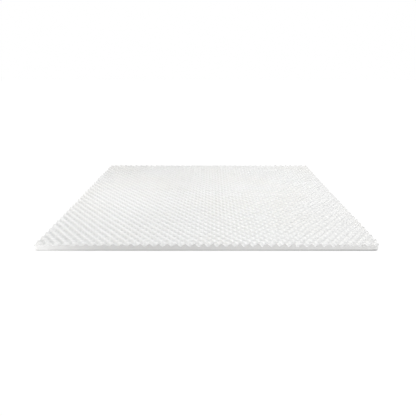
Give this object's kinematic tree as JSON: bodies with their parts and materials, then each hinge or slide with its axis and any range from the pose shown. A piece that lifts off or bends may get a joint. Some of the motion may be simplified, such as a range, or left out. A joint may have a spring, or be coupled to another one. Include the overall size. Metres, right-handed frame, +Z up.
{
  "type": "mattress topper",
  "caption": "Flat foam slab laid over a mattress, with a flat underside, a convoluted upper side of rounded peaks and dimples, and straight cut sides.",
  "frame": {"origin": "middle of the flat underside, at the height of the surface that the topper lies on", "axes": "+X along the length, +Y along the width away from the pictured front edge, +Z up through the peaks"},
  "size_m": [2.032, 1.524, 0.0517],
  "materials": {
    "foam": "matte white open-cell polyurethane foam"
  },
  "bodies": {
    "root": {"foam_topper": "foam"}
  },
  "joints": []
}
